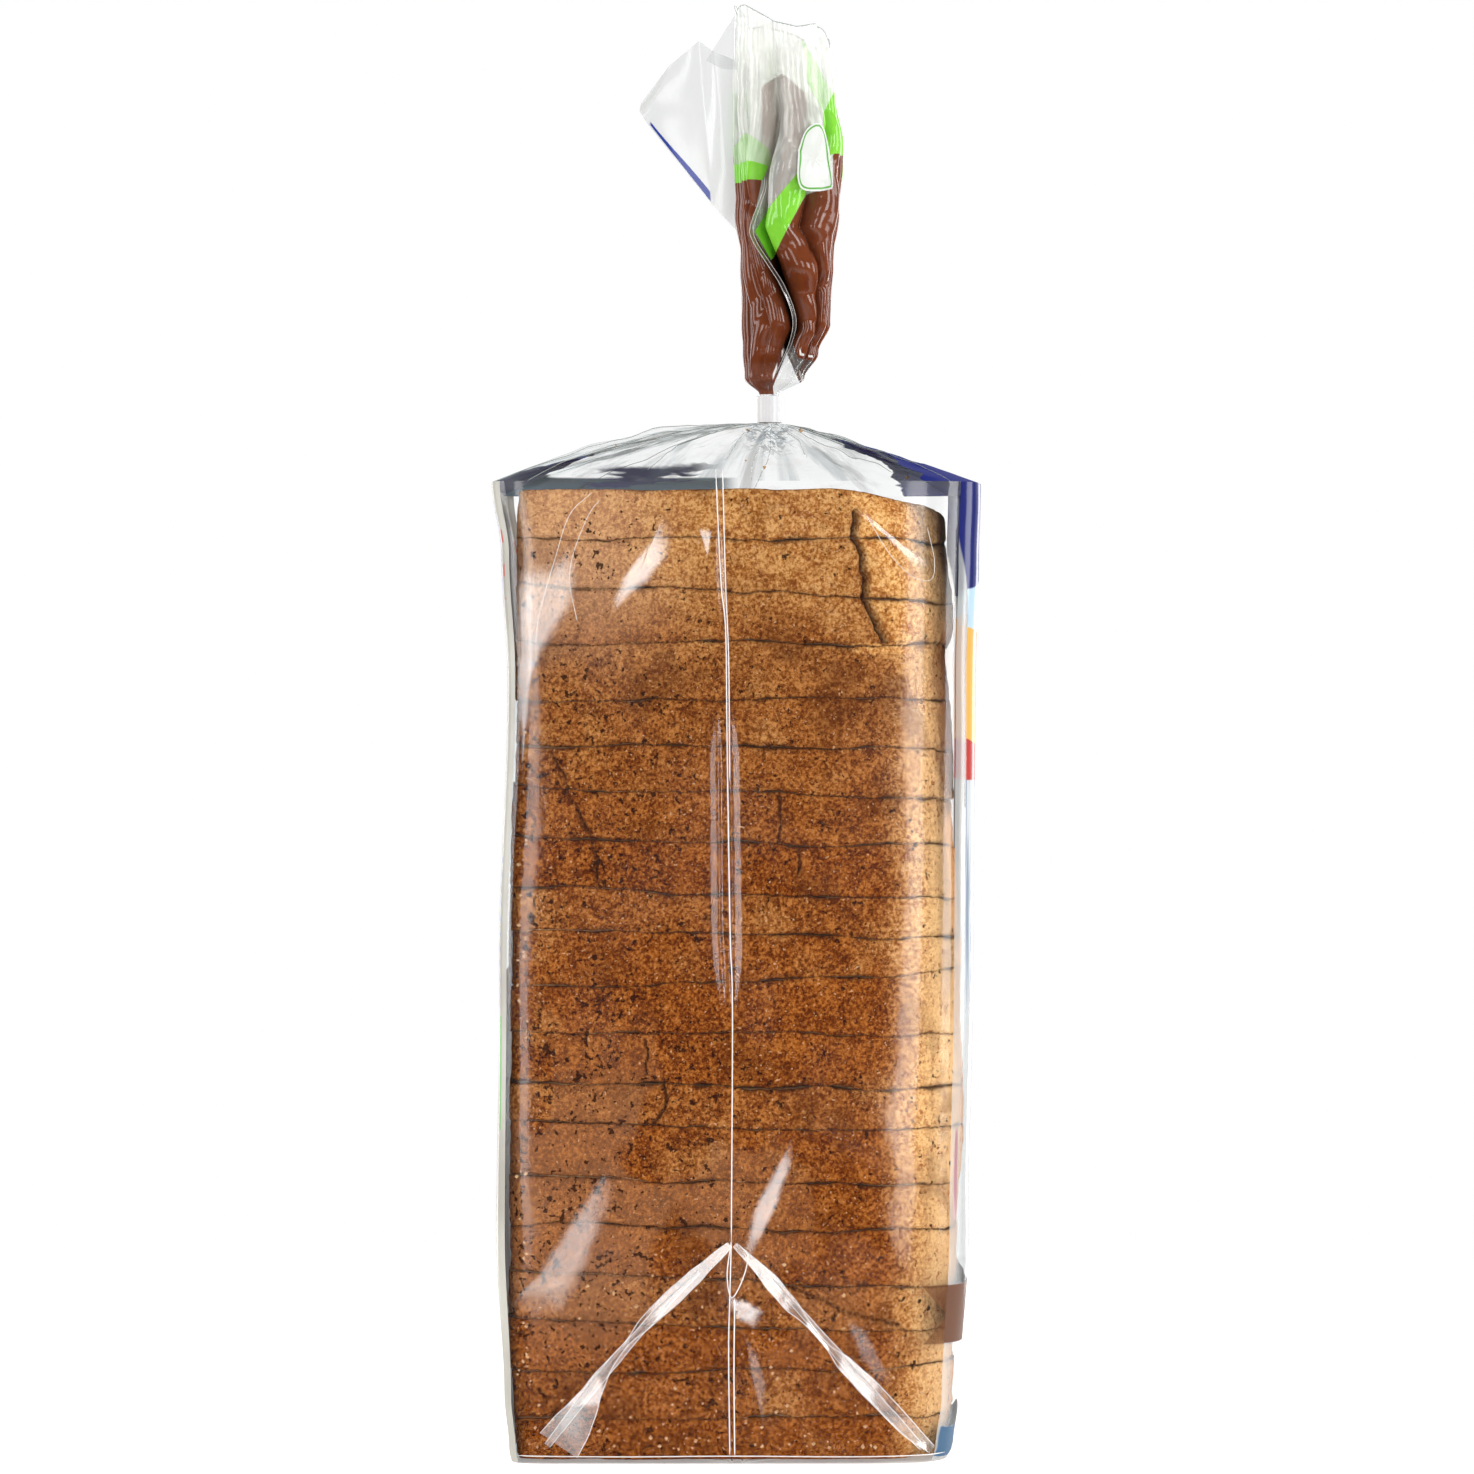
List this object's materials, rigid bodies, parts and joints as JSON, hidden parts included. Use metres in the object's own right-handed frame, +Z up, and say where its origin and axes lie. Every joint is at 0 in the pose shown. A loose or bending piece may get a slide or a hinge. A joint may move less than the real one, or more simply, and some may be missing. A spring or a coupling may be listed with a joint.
{
  "type": "loaf in bread bag",
  "caption": "Sliced wholemeal loaf standing on end in a clear gusseted film bag, its neck held by a band of tape, with a pleated film tail and one loose flap.",
  "frame": {"origin": "middle of the base that the bag stands on, at the centre of the bounding box in X and Y", "axes": "+Z up along the loaf's length to the tail, -X the loaf's flat bottom crust, +X its domed top crust, -Y and +Y the clear gussets"},
  "size_m": [0.13, 0.1168, 0.3907],
  "materials": {
    "bread_in_film": "brown wholemeal crust under clear glossy film",
    "neck_tape": "satin white tape",
    "bread_crust": "matt, speckled and porous wholemeal crust",
    "clear_film": "clear glossy film",
    "printed_film": "glossy film printed with plain fields of colour"
  },
  "bodies": {
    "root": {"bag_of_bread": "bread_in_film", "neck_tape": "neck_tape"}
  },
  "joints": []
}
